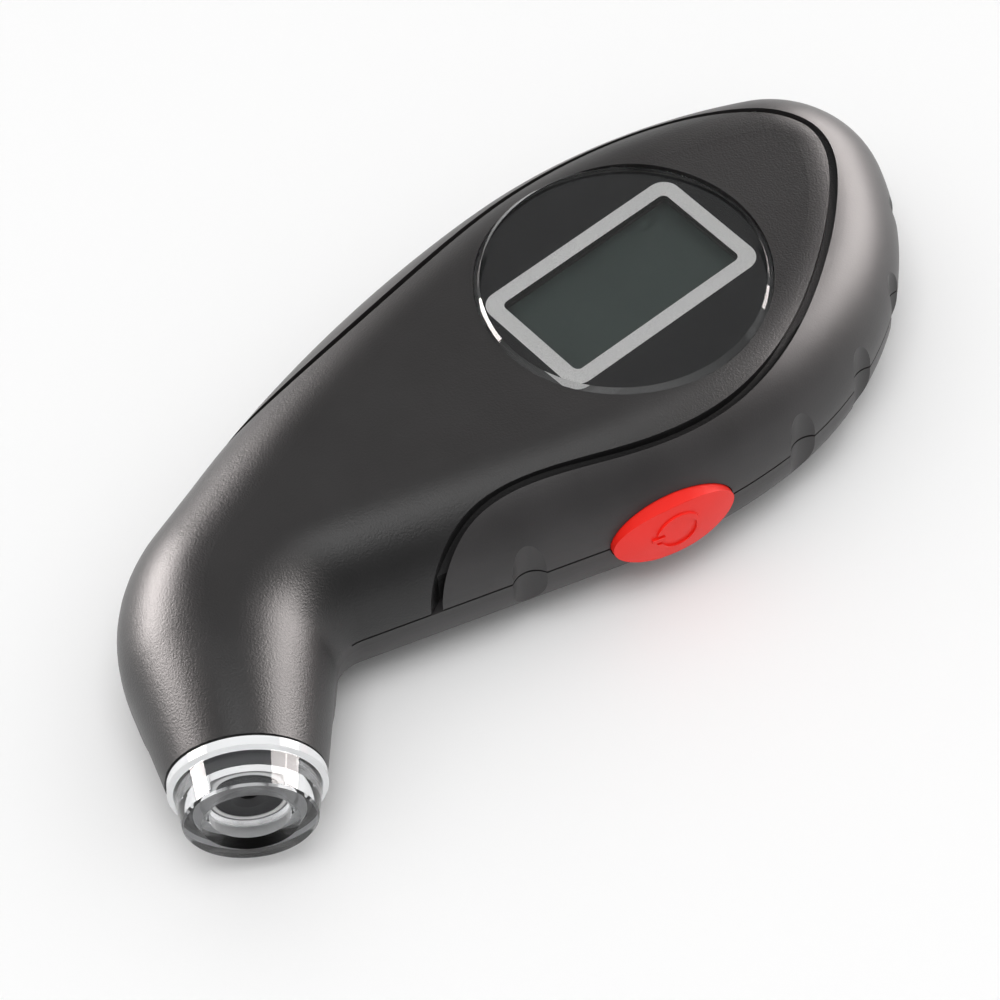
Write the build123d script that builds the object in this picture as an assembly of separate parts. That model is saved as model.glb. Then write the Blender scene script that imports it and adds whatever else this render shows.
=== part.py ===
"""Digital tyre pressure gauge: a two-part plastic case with a round display window, a bent neck
that ends in a clear nozzle, a red side button and everything that the case holds to work.

Millimetres. The gauge lies on its flat belly: Z is up, the display looks up, the centre of the
display is above the origin, the neck runs toward -X and the nozzle then turns toward -Y.
"""
import os
from functools import lru_cache
from math import atan, cos, radians, sin

from build123d import *

# Case: the mould parting plane, the heights above and below it and the rounding of both rims
SEAM_Z = 10.0
CROWN = 11.2
CROWN_ROUND = 11.0
BELLY_ROUND = 8.5

# Plan of the case: the corners of the bend, so far back along the sides of the neck, and the
# points that tangent arcs pass through from the inner corner round the head to the outer one
INNER_BACK = 15.0
INNER_CORNER_R = 4.5
OUTER_BACK = 23.3
OUTER_CORNER_R = 22.0
SIDE = (
    (-18.8, -23.0),
    (2.3, -26.1),
    (24.1, -19.8),
    (39.0, -3.3),
    (32.8, 15.6),
    (-5.6, 24.4),
    (-54.4, 14.6),
)

# Neck: mouth centre in plan, mouth radius, directions of mouth and barrel, radius gained a millimetre
MOUTH_X = -71.56
MOUTH_Y = -18.64
MOUTH_R = 8.95
MOUTH_ANGLE = 236.4
NECK_ANGLE = 239.5
NECK_TAPER = 0.22
NECK_LENGTH = 9.3
NECK_ROUND_AT = 11.44

# Walls, seam and clearances
LOWER_WALL = 2.2
LOWER_BEVEL = 3.4
UPPER_WALL = 2.7
UPPER_BEVEL = 4.5
BAND_WALL = 1.5
BAND_BEVEL = 5.2
GROOVE_W = 1.0
GLUE_LINE = 0.03
REVEAL_H = 0.3
REVEAL_STEP = 0.5
REVEAL_END_X = -52.0
FIT = 0.05
BEYOND = 40.0

# Finger flutes, counted in even steps along the side of the case
FLUTE_R = 2.7
FLUTE_DEPTH = 1.0
FLUTE_START = 59.9
FLUTE_STEP = 12.2
FLUTES = (-3, 0, 1, 2, 3, 4, 5, 6, 7, 8, 9, 10)

# Display: window glass, printed mask, liquid-crystal cell and its holder
LENS_R = 17.45
LENS_GAP = 0.1
LENS_Z = 19.3
LENS_TOP_Z = 21.45
LENS_BEVEL = 0.7
MASK_T = 0.25
MASK_GAP = 0.3
LEDGE_W = 1.55
LEDGE_T = 1.2
COLLAR_W = 1.1
WINDOW_SHARE = 0.9
WINDOW_ASPECT = 0.53
WINDOW_AT = (-0.1, 0.25)
WINDOW_CORNER = 0.8
LCD_MARGIN = 2.1
LCD_T = 1.9
LCD_Z = 15.2
LCD_CORNER = 0.2
LCD_STEP = 3.0
HOLDER_WALL = 1.8
HOLDER_TOP = 0.5
HOLDER_CORNER = 1.2
HOLDER_LIP = 1.6
HOLDER_LIP_CORNER = 0.6
STRIP_W = 1.6
STRIP_INSET = 1.1
STRIP_SHORT = 1.0

# Circuit board and what it carries
BOARD_Z = 12.0
BOARD_T = 1.2
BOARD_INSET = 6.0
BOARD_X = (-30.5, 27.0)
SENSOR_SIZE = (7.0, 7.0, 4.0)
SENSOR_AT = (-24.5, 0.5)
PORT_LENGTH = 5.0
PORT_BORE_R = 0.5
HOSE_OVERLAP = 0.3
HOSE_FIT = 0.02
CHIP_AT = (-14.0, 6.5)
BARB_R = 1.2
HOSE_R = 1.9
HOSE_BEND = 12.0

# Coin cell, its contacts and its door
CELL_R = 10.0
CELL_T = 3.2
CELL_Z = 2.25
WELL_TOP = 6.2
CELL_AT = (4.0, 0.0)
CELL_GAP = 0.25
WELL_WALL = 1.3
NOTCH_W = 5.0
NOTCH_DEPTH = 1.6
DOOR_SIZE = (30.0, 23.0)
DOOR_AT = (6.5, 0.0)
DOOR_T = 1.7
DOOR_GAP = 0.15
DOOR_CORNER = 3.5
DOOR_LEDGE = 1.2
TONGUE_W = 4.0
TONGUE_REACH = 1.1
TONGUE_Z = 0.8
RIB_HALF = 6.0
RIB_W = 1.0
RIB_Y = 4.0
GRIPS = 4
GRIP_STEP = 1.6
GRIP_W = 0.8
GRIP_HALF = 5.0
GRIP_DEPTH = 0.4
DOOR_SCREW_INSET = 2.9
DOOR_FRAME_W = 2.2
DOOR_SCREW_R = 0.8
DOOR_SCREW_TOP = 6.0
DOOR_HEAD_R = 1.7
DOOR_HEAD_T = 0.7
CONTACT_T = 0.3
CONTACT_W = 4.0
CONTACT_GAP = 0.05

# Button and its switch
BUTTON_AT = (-14.1, -24.2)
BUTTON_ANGLE = 257.3
BUTTON_HALF = (7.85, 4.45)
BUTTON_GAP = 0.15
BUTTON_PROUD = 1.3
BUTTON_DOME_R = 30.0
BUTTON_BEVEL = 0.4
BUTTON_DEPTH = 3.3
RING_R = 2.6
RING_W = 0.6
RING_RISE = 0.25
MARK_W = 1.6
EAR_REACH = 1.5
EAR_T = 1.0
EAR_W = 4.0
STEM_R = 1.6
BUTTON_TRAVEL = 0.4
SWITCH_AT = 7.3
SWITCH_SIZE = (6.0, 3.9, 3.5)
PLUNGER_R = 1.25
PLUNGER_OUT = 1.2
PLUNGER_IN = 1.5

# Fasteners
CASE_SCREWS = ((32.0, 3.0), (-34.2, -11.2), (-34.2, 14.0), (-57.5, 7.0))
BOARD_SCREWS = ((-25.5, 9.5), (-25.5, -8.5), (21.5, 1.0))
BOSS_R = 2.7
TUBE_R = 3.4
SCREW_R = 1.0
HEAD_R = 2.1
HEAD_T = 1.4
HEAD_GAP = 0.2
SHANK_GAP = 0.15
BOARD_HEAD_R = 1.7
BOARD_HEAD_T = 1.1
PILOT_FIT = 0.02
PILOT_SPARE = 0.4
SCREW_SEAT_Z = 5.0
CASE_SCREW_TOP = 14.0
BOARD_BOSS_R = 2.2
BOARD_SCREW_R = 0.8
BOARD_SCREW_TOP = 15.6

# Nozzle, measured outward from the mouth of the neck
TIP_OUT = 5.65
TIP_FRONT_R = 7.48
TIP_STEM_R = 7.1
TIP_STEM = 6.0
FLANGE_Z = 0.25
FLANGE_T = 1.3
COLLAR_R = 7.9
COLLAR_Z = -5.0
COLLAR_T = 1.0
SOCKET_R = 4.5
SOCKET_DEPTH = 3.1
SOCKET_BEVEL = 0.9
SEAL_R = 3.85
SEAL_T = 3.0
SEAL_HOLE_R = 1.1
SEAT_R = 6.2
SEAT_FLANGE_T = 1.0
SEAT_BACK = -7.8
BARB_END = -12.6
PIN_R = 0.65
PIN_TOP = 0.9
PIN_BASE_R = 2.1
PIN_BASE_T = 1.2
LAMP_Z = -8.3
LAMP_OFF = 4.3

DOOR_SCREW_AT = (DOOR_AT[0] + DOOR_SIZE[0] / 2 - DOOR_SCREW_INSET, DOOR_AT[1])
LEDGE_R = LENS_R - LEDGE_W
WINDOW_LENGTH = 2 * LEDGE_R * WINDOW_SHARE * cos(atan(WINDOW_ASPECT))
WINDOW_SIZE = (WINDOW_LENGTH, WINDOW_LENGTH * WINDOW_ASPECT)
LCD_SIZE = (WINDOW_SIZE[0] + 2 * LCD_MARGIN, WINDOW_SIZE[1] + 2 * LCD_MARGIN, LCD_T)
MOUTH_DIR = Vector(cos(radians(MOUTH_ANGLE)), sin(radians(MOUTH_ANGLE)))
NECK_BACK = Vector(-cos(radians(NECK_ANGLE)), -sin(radians(NECK_ANGLE)))
NOZZLE = Plane(origin=(MOUTH_X, MOUTH_Y, SEAM_Z), z_dir=MOUTH_DIR)
BUTTON_DIR = Vector(cos(radians(BUTTON_ANGLE)), sin(radians(BUTTON_ANGLE)))
BUTTON = Plane(
    origin=(BUTTON_AT[0], BUTTON_AT[1], SEAM_Z),
    x_dir=(-BUTTON_DIR.Y, BUTTON_DIR.X, 0),
    z_dir=BUTTON_DIR,
)


def neck_side(back, side):
    """Point on the silhouette of the neck in plan, so far back from the mouth."""
    across = Vector(NECK_BACK.Y, -NECK_BACK.X) * side
    return Vector(MOUTH_X, MOUTH_Y) + NECK_BACK * back + across * (MOUTH_R + NECK_TAPER * back)


def side_arcs():
    """Tangent arcs in plan from the inner corner of the bend round the head to the far side."""
    arcs = [Line(neck_side(INNER_BACK, 1), SIDE[0])]
    for start, end in zip(SIDE, SIDE[1:]):
        arcs.append(TangentArc(start, end, tangent=arcs[-1] % 1))
    return arcs


def case_plan(inset):
    """Outline of the head and the bend, closed by a round end inside the neck, moved inward."""
    slope = atan(NECK_TAPER)
    end_r = (MOUTH_R + NECK_TAPER * NECK_ROUND_AT) * cos(slope)
    touch = NECK_ROUND_AT - end_r * sin(slope)
    tip = Vector(MOUTH_X, MOUTH_Y) + NECK_BACK * (NECK_ROUND_AT - end_r)
    far = neck_side(touch, -1)
    near = neck_side(touch, 1)
    outer_corner = neck_side(OUTER_BACK, -1)
    inner_corner = neck_side(INNER_BACK, 1)
    edges = side_arcs() + [
        Line(SIDE[-1], outer_corner),
        Line(outer_corner, far),
        ThreePointArc(far, tip, near),
        Line(near, inner_corner),
    ]
    outline = make_face(edges)
    for corner, radius in ((outer_corner, OUTER_CORNER_R), (inner_corner, INNER_CORNER_R)):
        outline = fillet(outline.vertices().sort_by_distance(corner)[0], radius)
    if inset:
        outline = offset(outline, -inset)
    return outline.faces()[0]


def at_height(shape, height):
    return [edge for edge in shape.edges() if abs((edge @ 0.5).Z - height) < 0.001]


def neck_cone(upward):
    """Half of the round neck, a little longer than its mouth."""
    start = -2.0
    base_r = MOUTH_R + NECK_TAPER * start
    top_r = MOUTH_R + NECK_TAPER * NECK_LENGTH
    length = NECK_LENGTH - start
    barrel = Plane(origin=(MOUTH_X, MOUTH_Y, SEAM_Z), z_dir=NECK_BACK)
    cone = barrel.location * Pos(0, 0, start + length / 2) * Cone(base_r, top_r, length)
    return cone & (slab(SEAM_Z, 40) if upward else slab(0, SEAM_Z))


def beyond_mouth():
    return on_nozzle(Pos(0, 0, 5) * Cylinder(2 * MOUTH_R, 10))


@lru_cache(maxsize=None)
def upper_form():
    """Outside of the upper half: flat crown with a fully rounded rim, and the neck."""
    body = extrude(Pos(0, 0, SEAM_Z) * case_plan(0.0), CROWN)
    return fillet(at_height(body, SEAM_Z + CROWN), CROWN_ROUND) + neck_cone(True) - beyond_mouth()


@lru_cache(maxsize=None)
def lower_form():
    """Outside of the lower half: flat belly with a rounded rim, and the neck."""
    body = extrude(case_plan(0.0), SEAM_Z)
    return fillet(at_height(body, 0.0), BELLY_ROUND) + neck_cone(False) - beyond_mouth()


@lru_cache(maxsize=None)
def upper_core(inset, bevel):
    """The upper half moved inward, with a bevelled rim: the step under the band or the cavity."""
    body = extrude(Pos(0, 0, SEAM_Z) * case_plan(inset), CROWN - inset)
    return chamfer(at_height(body, SEAM_Z + CROWN - inset), bevel)


@lru_cache(maxsize=None)
def lower_core(inset, bevel):
    body = extrude(Pos(0, 0, inset) * case_plan(inset), SEAM_Z - inset)
    return chamfer(at_height(body, inset), bevel)


def slab(z_low, z_high):
    return Pos(0, 0, (z_low + z_high) / 2) * Box(400, 400, z_high - z_low)


def post(x, y, radius, z_low, z_high):
    return Pos(x, y, (z_low + z_high) / 2) * Cylinder(radius, z_high - z_low)


def block(x_range, y_range, z_range):
    sizes = [high - low for low, high in (x_range, y_range, z_range)]
    middle = [(high + low) / 2 for low, high in (x_range, y_range, z_range)]
    return Pos(*middle) * Box(*sizes)


def plate(size, corner, at, z_low, z_high):
    """Flat plate with rounded corners between two heights."""
    outline = Pos(at[0], at[1], z_low) * RectangleRounded(size[0], size[1], corner)
    return extrude(outline, z_high - z_low)


def turned(*profile):
    """Solid of revolution about Z from its (radius, height) corners."""
    return revolve(make_face(Plane.XZ * Polyline(*profile, close=True)), Axis.Z)


def on_nozzle(part):
    return NOZZLE.location * part


def on_button(part):
    return BUTTON.location * part


@lru_cache(maxsize=None)
def groove_line():
    """Middle of the styling groove in plan, from the near side round the nose to the far side."""
    return Spline(
        (-47.0, -18.5),
        (-41.2, -15.2),
        (-34.6, -13.3),
        (-25.7, -14.6),
        (-14.0, -19.0),
        (-1.5, -21.0),
        (8.5, -19.0),
        (18.5, -13.7),
        (27.3, -6.6),
        (32.4, 1.6),
        (26.6, 12.2),
        (14.4, 18.2),
        (-2.0, 20.0),
        (-16.5, 18.3),
        (-34.0, 16.1),
        (-50.6, 15.9),
        (-60.0, 17.5),
    )


def saddle_zone(outward):
    """Prism over the saddle and the neck, with its edge moved outward from the groove line."""
    line = groove_line()
    steps = 44
    edge = []
    for step in range(steps + 1):
        share = step / steps
        tangent = line % share
        edge.append(line @ share + Vector(tangent.Y, -tangent.X) * outward)
    border = Spline(*edge)
    start = border @ 0
    end = border @ 1
    rest = Polyline(end, (-100, end.Y), (-100, -60), (start.X, -60), start)
    return extrude(make_face([border, rest]), SEAM_Z + CROWN + 5)


@lru_cache(maxsize=None)
def flute_cutters():
    """Upright cylinders that scallop the side of the head at even steps."""
    side = Wire([arc.edge() for arc in side_arcs()])
    cutters = []
    for number in FLUTES:
        share = (FLUTE_START + number * FLUTE_STEP) / side.length
        tangent = side % share
        axis = (side @ share) + Vector(tangent.Y, -tangent.X) * (FLUTE_R - FLUTE_DEPTH)
        cutters.append(post(axis.X, axis.Y, FLUTE_R, -BEYOND, BEYOND))
    return cutters


def button_prism(growth, z_low, z_high):
    """Elliptical prism across the side wall, in the button's own plane."""
    outline = Pos(0, 0, z_low) * Ellipse(BUTTON_HALF[0] + growth, BUTTON_HALF[1] + growth)
    return extrude(outline, z_high - z_low)


def button_hole():
    return on_button(button_prism(BUTTON_GAP, -5.0, 5.0))


def neck_bore():
    """Round seat in the neck for the stem of the nozzle tip and its collar."""
    depth = TIP_STEM + SEAT_FLANGE_T + FIT + 0.3
    bore = Pos(0, 0, -depth / 2) * Cylinder(TIP_STEM_R + FIT, depth)
    collar = turned(
        (0, COLLAR_Z - FIT),
        (COLLAR_R + FIT, COLLAR_Z - FIT),
        (COLLAR_R + FIT, COLLAR_Z + COLLAR_T + FIT),
        (0, COLLAR_Z + COLLAR_T + FIT),
    )
    return on_nozzle(bore + collar)


def make_upper_shell():
    """Saddle and upper neck, stepped down under the grip band, with its collar and bosses."""
    step = upper_core(BAND_WALL, BAND_BEVEL)
    shell = (upper_form() & saddle_zone(-GROOVE_W / 2)) + step - upper_core(UPPER_WALL, UPPER_BEVEL)
    inner = post(0, 0, LENS_R + LENS_GAP + COLLAR_W, LENS_Z - MASK_T - LEDGE_T, BEYOND)
    for x, y in CASE_SCREWS:
        inner += post(x, y, BOSS_R, SEAM_Z, BEYOND)
    for x, y in BOARD_SCREWS:
        inner += post(x, y, BOARD_BOSS_R, BOARD_Z + BOARD_T, BEYOND)
    shell += inner & step
    shell -= post(0, 0, LEDGE_R, SEAM_Z, BEYOND)
    shell -= post(0, 0, LENS_R + LENS_GAP, LENS_Z - MASK_T, BEYOND)
    for x, y in CASE_SCREWS:
        shell -= post(x, y, SCREW_R + PILOT_FIT, SEAM_Z, CASE_SCREW_TOP + PILOT_SPARE)
    for x, y in BOARD_SCREWS:
        shell -= post(x, y, BOARD_SCREW_R + PILOT_FIT, SEAM_Z, BOARD_SCREW_TOP + PILOT_SPARE)
    return shell - neck_bore() - button_hole()


def make_grip_band():
    """Horseshoe round the head outside the groove, scalloped for the fingers."""
    band = upper_form() - upper_core(BAND_WALL - GLUE_LINE, BAND_BEVEL)
    band -= saddle_zone(GROOVE_W / 2)
    return band - flute_cutters() - button_hole()


def make_lower_shell():
    """Belly of the case: door frame, battery well, screw tubes and the seam reveal."""
    outside = lower_form()
    shell = outside - lower_core(LOWER_WALL, LOWER_BEVEL)
    frame = (DOOR_SIZE[0] + 2 * DOOR_FRAME_W, DOOR_SIZE[1] + 2 * DOOR_FRAME_W)
    inner = plate(frame, DOOR_CORNER + DOOR_FRAME_W, DOOR_AT, 0, DOOR_T + DOOR_LEDGE)
    inner += post(*CELL_AT, CELL_R + WELL_WALL, 0, WELL_TOP)
    inner += post(*DOOR_SCREW_AT, BOARD_BOSS_R, 0, DOOR_SCREW_TOP + 1.0)
    for x, y in CASE_SCREWS:
        inner += post(x, y, TUBE_R, 0, SEAM_Z) & outside
    shell += inner
    hole = (DOOR_SIZE[0] + 2 * DOOR_GAP, DOOR_SIZE[1] + 2 * DOOR_GAP)
    shell -= plate(hole, DOOR_CORNER + DOOR_GAP, DOOR_AT, -BEYOND, DOOR_T + FIT)
    shell -= post(*CELL_AT, CELL_R + CELL_GAP, -BEYOND, SEAM_Z)
    shell -= contact_notch()
    shell -= post(*DOOR_SCREW_AT, DOOR_SCREW_R + PILOT_FIT, -BEYOND, DOOR_SCREW_TOP + PILOT_SPARE)
    for side in (-1, 1):
        shell -= door_tongue(side, FIT)
    for x, y in CASE_SCREWS:
        shell -= post(x, y, HEAD_R + HEAD_GAP, -BEYOND, SCREW_SEAT_Z)
        shell -= post(x, y, SCREW_R + SHANK_GAP, -BEYOND, BEYOND)
    rim = Pos(0, 0, SEAM_Z - REVEAL_H) * (case_plan(0.0) - case_plan(FLUTE_DEPTH + REVEAL_STEP))
    shell -= extrude(rim, BEYOND) & block((REVEAL_END_X, BEYOND), (-BEYOND, BEYOND), (0, BEYOND))
    return shell - neck_bore() - button_hole() - flute_cutters()


def contact_notch():
    """Slot in the wall of the battery well for the side contact."""
    x = CELL_AT[0] - CELL_R
    return block(
        (x - NOTCH_DEPTH, x + 1.0),
        (-NOTCH_W / 2, NOTCH_W / 2),
        (DOOR_T + DOOR_LEDGE, SEAM_Z),
    )


def door_tongue(side, growth):
    """Tongue at one corner of the door's far edge, or the slot for it."""
    edge = DOOR_AT[0] - DOOR_SIZE[0] / 2
    y = DOOR_AT[1] + side * DOOR_SIZE[1] / 4
    return block(
        (edge - TONGUE_REACH - growth, edge + 1.0),
        (y - TONGUE_W / 2 - growth, y + TONGUE_W / 2 + growth),
        (TONGUE_Z - growth, DOOR_T + growth),
    )


def make_battery_door():
    """Flush door over the coin cell with two tongues, two cell ribs and a screw recess."""
    door = plate(DOOR_SIZE, DOOR_CORNER, DOOR_AT, 0, DOOR_T)
    ends = (CELL_AT[0] - RIB_HALF, CELL_AT[0] + RIB_HALF)
    for side in (-1, 1):
        y = CELL_AT[1] + side * RIB_Y
        door += door_tongue(side, 0)
        door += block(ends, (y - RIB_W / 2, y + RIB_W / 2), (DOOR_T, CELL_Z - FIT))
    for number in range(1, GRIPS + 1):
        x = DOOR_AT[0] - DOOR_SIZE[0] / 2 + number * GRIP_STEP
        door -= block((x - GRIP_W / 2, x + GRIP_W / 2), (-GRIP_HALF, GRIP_HALF), (-1, GRIP_DEPTH))
    door -= post(*DOOR_SCREW_AT, DOOR_HEAD_R + SHANK_GAP, -1, DOOR_HEAD_T + 2 * FIT)
    return door - post(*DOOR_SCREW_AT, DOOR_SCREW_R + FIT, -1, BEYOND)


def make_lens():
    """Clear window disc with a polished bevel round its top."""
    top = turned(
        (0, LENS_Z),
        (LENS_R, LENS_Z),
        (LENS_R, LENS_TOP_Z - LENS_BEVEL),
        (LENS_R - LENS_BEVEL, LENS_TOP_Z),
        (0, LENS_TOP_Z),
    )
    return top


def make_dial_mask():
    """Thin printed foil under the lens with the window for the display."""
    foil = post(0, 0, LENS_R - MASK_GAP, LENS_Z - MASK_T + 0.01, LENS_Z - 0.01)
    return foil - plate(WINDOW_SIZE, WINDOW_CORNER, WINDOW_AT, LENS_Z - 1, LENS_Z + 1)


def make_lcd_glass():
    """Two bonded panes, the upper one shorter so that the contact edge is bare."""
    x, y, t = LCD_SIZE
    lower = plate((x, y), LCD_CORNER, WINDOW_AT, LCD_Z, LCD_Z + t / 2)
    return lower + plate((x, y - LCD_STEP), LCD_CORNER, WINDOW_AT, LCD_Z + t / 2, LCD_Z + t)


def make_lcd_holder():
    """Cap that clips over the display and presses it on its rubber connectors."""
    x, y, t = LCD_SIZE
    top = LCD_Z + t + FIT
    low = BOARD_Z + BOARD_T
    outer = (x + 2 * HOLDER_WALL, y + 2 * HOLDER_WALL)
    mouth = (x - 2 * HOLDER_LIP, y - 2 * HOLDER_LIP)
    cap = plate(outer, HOLDER_CORNER, WINDOW_AT, low, top + HOLDER_TOP)
    cap -= plate((x + 2 * FIT, y + 2 * FIT), LCD_CORNER, WINDOW_AT, low - 1, top)
    return cap - plate(mouth, HOLDER_LIP_CORNER, WINDOW_AT, low - 1, BEYOND)


def make_zebra_strips():
    """Two rubber connectors between the board and the contact edges of the display."""
    strips = []
    reach = LCD_SIZE[0] / 2 - STRIP_SHORT
    for side in (-1, 1):
        y = WINDOW_AT[1] + side * (LCD_SIZE[1] / 2 - STRIP_INSET)
        strips.append(
            block(
                (WINDOW_AT[0] - reach, WINDOW_AT[0] + reach),
                (y - STRIP_W / 2, y + STRIP_W / 2),
                (BOARD_Z + BOARD_T, LCD_Z),
            )
        )
    return Compound(children=strips)


def make_circuit_board():
    """Board cut to the plan of the head, an even step inside the case."""
    low, high = BOARD_X
    board = extrude(Pos(0, 0, BOARD_Z) * case_plan(BOARD_INSET), BOARD_T)
    board &= block((low, high), (-BEYOND, BEYOND), (0, BEYOND))
    for x, y in BOARD_SCREWS:
        board -= post(x, y, BOARD_SCREW_R + SHANK_GAP, 0, BEYOND)
    return board


def make_chip_blob():
    """Resin drop over the bare chip on the underside of the board."""
    return Pos(*CHIP_AT, BOARD_Z) * turned((0, 0), (4.0, 0), (3.6, -0.6), (2.4, -1.1), (0, -1.3))


def make_pressure_sensor():
    """Sensor under the board with its port facing the neck."""
    x, y = SENSOR_AT
    length, width, height = SENSOR_SIZE
    face_x = x - length / 2
    body = block(
        (face_x, x + length / 2),
        (y - width / 2, y + width / 2),
        (BOARD_Z - height, BOARD_Z),
    )
    port = Pos(face_x - PORT_LENGTH / 2, y, SEAM_Z) * Rot(0, 90, 0)
    body += port * Cylinder(BARB_R, PORT_LENGTH)
    return body - port * Cylinder(PORT_BORE_R, PORT_LENGTH + 2)


def make_air_hose():
    """Silicone hose from the barb of the seal seat round the bend to the sensor."""
    start = NOZZLE.from_local_coords(Vector(0, 0, SEAT_BACK - HOSE_OVERLAP))
    back = (SENSOR_AT[1] - start.Y) / -MOUTH_DIR.Y
    bend = start - MOUTH_DIR * back
    end = Vector(SENSOR_AT[0] - SENSOR_SIZE[0] / 2 - HOSE_OVERLAP, SENSOR_AT[1], SEAM_Z)
    path = Wire(FilletPolyline(start, bend, end, radius=HOSE_BEND).edges())
    mouth = Plane(origin=start, z_dir=MOUTH_DIR * -1)
    return sweep(mouth * Circle(HOSE_R), path) - sweep(mouth * Circle(BARB_R + HOSE_FIT), path)


def make_coin_cell():
    """Coin cell: can with a rolled edge and the smaller cap facing the board."""
    cell = turned(
        (0, 0),
        (CELL_R - 0.4, 0),
        (CELL_R, 0.4),
        (CELL_R, CELL_T - 0.6),
        (CELL_R - 0.5, CELL_T - 0.25),
        (CELL_R - 1.2, CELL_T - 0.25),
        (CELL_R - 1.2, CELL_T - 0.45),
        (CELL_R - 1.5, CELL_T - 0.45),
        (CELL_R - 1.7, CELL_T),
        (0, CELL_T),
    )
    return Pos(*CELL_AT, CELL_Z) * cell


def strip_part(width, *path):
    """Bent metal strip: a path in the XZ plane given thickness and width."""
    face = Plane.XZ * trace(Polyline(*path), CONTACT_T)
    return extrude(face, width / 2, both=True)


def make_negative_contact():
    """Leaf spring from the board down to the cap of the cell."""
    x = CELL_AT[0]
    pad = BOARD_Z - CONTACT_T / 2
    touch = CELL_Z + CELL_T + CONTACT_T / 2 + GLUE_LINE
    return strip_part(CONTACT_W, (x + 9, pad), (x + 5, pad), (x - 1, touch), (x - 3, touch), (x - 4, touch + 1))


def make_positive_contact():
    """Side strip from the board down along the rim of the cell."""
    x = CELL_AT[0] - CELL_R - CONTACT_T / 2 - CONTACT_GAP
    pad = BOARD_Z - CONTACT_T / 2
    return strip_part(CONTACT_W, (x - 3.5, pad), (x, pad), (x, CELL_Z + 1.0))


def screw(shank_r, head_r, head_t, length):
    """Screw with a cheese head, head down, shank up from the seat at Z 0."""
    return turned((0, -head_t), (head_r, -head_t), (head_r, 0), (shank_r, 0), (shank_r, length), (0, length))


def make_case_screws():
    one = screw(SCREW_R, HEAD_R, HEAD_T, CASE_SCREW_TOP - SCREW_SEAT_Z)
    return Compound(children=[Pos(x, y, SCREW_SEAT_Z) * one for x, y in CASE_SCREWS])


def make_board_screws():
    one = screw(BOARD_SCREW_R, BOARD_HEAD_R, BOARD_HEAD_T, BOARD_SCREW_TOP - BOARD_Z)
    return Compound(children=[Pos(x, y, BOARD_Z) * one for x, y in BOARD_SCREWS])


def make_door_screw():
    seat = DOOR_HEAD_T + 2 * FIT
    length = DOOR_SCREW_TOP - seat
    return Pos(*DOOR_SCREW_AT, seat) * screw(DOOR_SCREW_R, DOOR_HEAD_R, DOOR_HEAD_T, length)


def under_dome(height):
    """Ball whose top is so far in front of the side of the case."""
    return Pos(0, 0, height - BUTTON_DOME_R) * Rot(0, 90, 0) * Sphere(BUTTON_DOME_R)


def make_power_button():
    """Domed red button with a raised ring, ears behind the wall and a stem to the switch."""
    top = BUTTON_PROUD + RING_RISE
    button = chamfer(
        button_prism(0, -BUTTON_DEPTH, BUTTON_PROUD).faces().sort_by(Axis.Z)[-1].edges(),
        BUTTON_BEVEL,
    )
    button &= under_dome(BUTTON_PROUD)
    ring = Cylinder(RING_R + RING_W / 2, 2 * top) - Cylinder(RING_R - RING_W / 2, 2 * top)
    ring -= Pos(-RING_R, 0, 0) * Box(MARK_W, MARK_W, 3 * top)
    ring += Pos(-RING_R, 0, 0) * Box(MARK_W, RING_W, 2 * top)
    button += ring & under_dome(top)
    ears_z = -BUTTON_DEPTH - 0.75
    button += Pos(0, 0, ears_z) * Box(2 * (BUTTON_HALF[0] + EAR_REACH), EAR_W, EAR_T)
    stem = SWITCH_AT - PLUNGER_OUT
    button += Pos(0, 0, -stem / 2 - 1) * Cylinder(STEM_R, stem - 2)
    return on_button(button)


def make_switch_body():
    """Side-acting push switch under the edge of the board."""
    x, y, depth = SWITCH_SIZE
    top = BOARD_Z - SEAM_Z
    body = Pos(0, top - y / 2, -SWITCH_AT - depth / 2) * Box(x, y, depth)
    bore = PLUNGER_IN + BUTTON_TRAVEL + 0.2
    return on_button(body - Pos(0, 0, -SWITCH_AT - bore / 2) * Cylinder(PLUNGER_R + FIT, bore))


def make_switch_plunger():
    length = PLUNGER_OUT + PLUNGER_IN - 0.02
    return on_button(Pos(0, 0, -SWITCH_AT + PLUNGER_OUT - 0.02 - length / 2) * Cylinder(PLUNGER_R, length))


def make_nozzle_tip():
    """Clear tapered nozzle: flange at the neck, socket for the tyre valve, stem with a collar."""
    pocket = TIP_OUT - SOCKET_DEPTH
    stem = -TIP_STEM
    tip = turned(
        (SOCKET_R, pocket),
        (SOCKET_R, TIP_OUT - SOCKET_BEVEL),
        (SOCKET_R + SOCKET_BEVEL, TIP_OUT),
        (TIP_FRONT_R - 0.25, TIP_OUT),
        (TIP_FRONT_R, TIP_OUT - 0.25),
        (MOUTH_R - 0.75, FLANGE_Z + FLANGE_T),
        (MOUTH_R - 0.1, FLANGE_Z + FLANGE_T - 0.2),
        (MOUTH_R - 0.1, FLANGE_Z),
        (TIP_STEM_R, FLANGE_Z),
        (TIP_STEM_R, COLLAR_Z + COLLAR_T),
        (COLLAR_R, COLLAR_Z + COLLAR_T),
        (COLLAR_R, COLLAR_Z),
        (TIP_STEM_R, COLLAR_Z),
        (TIP_STEM_R, stem),
        (SEAT_R, stem),
        (SEAT_R, pocket),
    )
    return on_nozzle(tip)


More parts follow.
